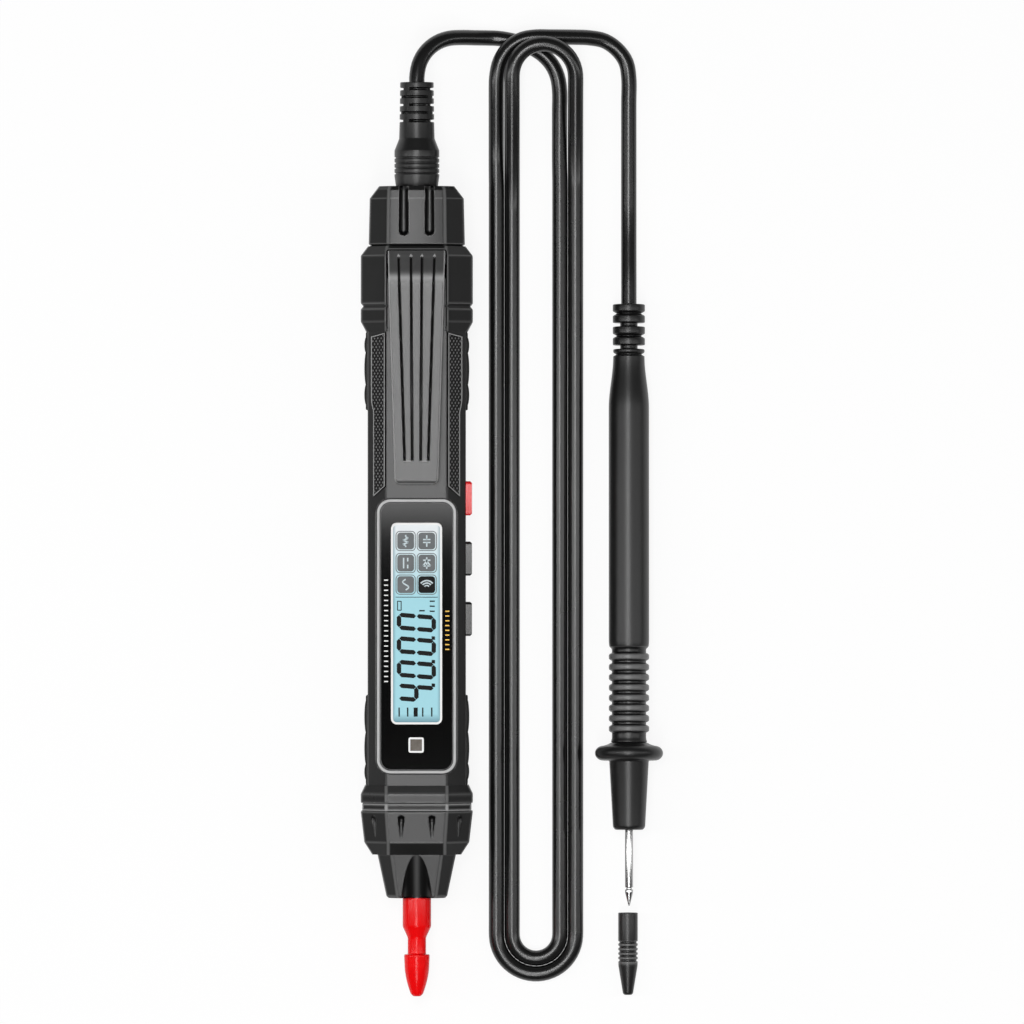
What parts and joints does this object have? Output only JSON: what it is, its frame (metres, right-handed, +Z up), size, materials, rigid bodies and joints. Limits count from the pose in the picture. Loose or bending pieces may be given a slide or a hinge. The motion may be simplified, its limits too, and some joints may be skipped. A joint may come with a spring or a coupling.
{
  "type": "pen multimeter",
  "caption": "Pen-shaped digital multimeter with a display, pocket clip, side buttons and capped needle, plus a plug-in test lead coiled beside it and its hand-held needle probe.",
  "frame": {"origin": "middle of the pen's length, on its axis seen from above, on the surface that it lies on", "axes": "+Y along the pen towards its rear end and the lead's plug, +Z up out of the display, +X to the side with the buttons"},
  "size_m": [0.0741, 0.2369, 0.027],
  "materials": {
    "housing": "satin black, finely textured",
    "housing_trim": "satin black",
    "grip": "matte soft grip",
    "bezel": "dark grey rim",
    "panel": "gloss black",
    "screen": "pale cyan liquid crystal",
    "holder": "white diffuser",
    "lens": "tinted lens",
    "board": "green laminate",
    "switch": "black",
    "screw": "zinc plated",
    "contact": "nickel plated",
    "copper": "bare sheet",
    "socket": "machined",
    "fuse": "glazed tube",
    "cell": "printed sleeve",
    "wire": "red insulation",
    "clip": "grey, satin",
    "red": "bright red, glossy",
    "red_button": "bright red",
    "key": "black",
    "needle": "polished",
    "moulded": "satin black",
    "guard": "glossy black",
    "lead": "glossy flexible jacket"
  },
  "bodies": {
    "pen": {"front_shell": "housing", "back_shell": "housing", "battery_door": "housing", "door_screw": "screw", "housing_screws": "screw", "rear_collar": "housing_trim", "rear_cap": "housing_trim", "front_collar": "housing_trim", "seal_ring": "grip", "nose_collar": "housing_trim", "nose_cone": "housing_trim", "side_grips": "grip", "facet_pads": "grip", "display_bezel": "bezel", "display_panel": "panel", "lcd_glass": "screen", "lcd_holder": "holder", "sensor_lens": "lens", "main_board": "board", "board_screws": "screw", "push_switches": "switch", "buzzer": "switch", "input_fuse": "fuse", "sense_plate": "copper", "needle": "needle", "needle_strap": "copper", "jack_housing": "moulded", "jack_sleeve": "socket", "jack_wire": "wire", "battery_cells": "cell", "contact_plates": "contact", "contact_springs": "contact"},
    "clip": {"pocket_clip": "clip"},
    "power_button": {"power_button": "red_button"},
    "hold_button": {"hold_button": "key"},
    "select_button": {"select_button": "key"},
    "needle_cap": {"needle_cap": "red"},
    "lead": {"plug_boot": "moulded", "plug_pin": "needle", "lead_exit_run": "lead", "lead_hank": "lead", "lead_probe_run": "lead", "probe_strain_relief": "moulded", "probe_handle": "moulded", "probe_guard": "guard", "probe_needle": "needle"},
    "probe_cap": {"probe_cap": "lead"}
  },
  "joints": [
    {"name": "clip_flex", "type": "hinge", "parent": "pen", "child": "clip", "pos_m": [0, 0.08175, 0.0209], "axis": [-1, 0, 0], "range_deg": [0, 4.5], "stiffness_Nm_per_rad": 3},
    {"name": "power_button_press", "type": "slide", "parent": "pen", "child": "power_button", "axis": [-1, 0, 0], "range_m": [0, 0.0006], "stiffness_N_per_m": 800},
    {"name": "hold_button_press", "type": "slide", "parent": "pen", "child": "hold_button", "axis": [-1, 0, 0], "range_m": [0, 0.0006], "stiffness_N_per_m": 800},
    {"name": "select_button_press", "type": "slide", "parent": "pen", "child": "select_button", "axis": [-1, 0, 0], "range_m": [0, 0.0006], "stiffness_N_per_m": 800},
    {"name": "needle_cap_pull", "type": "slide", "parent": "pen", "child": "needle_cap", "axis": [0, -1, 0], "range_m": [0, 0.025]},
    {"name": "lead_unplug", "type": "slide", "parent": "pen", "child": "lead", "axis": [0, 1, 0], "range_m": [0, 0.022]},
    {"name": "probe_cap_slide", "type": "slide", "parent": "lead", "child": "probe_cap", "axis": [0, -1, 0], "range_m": [0, 0.03]}
  ]
}
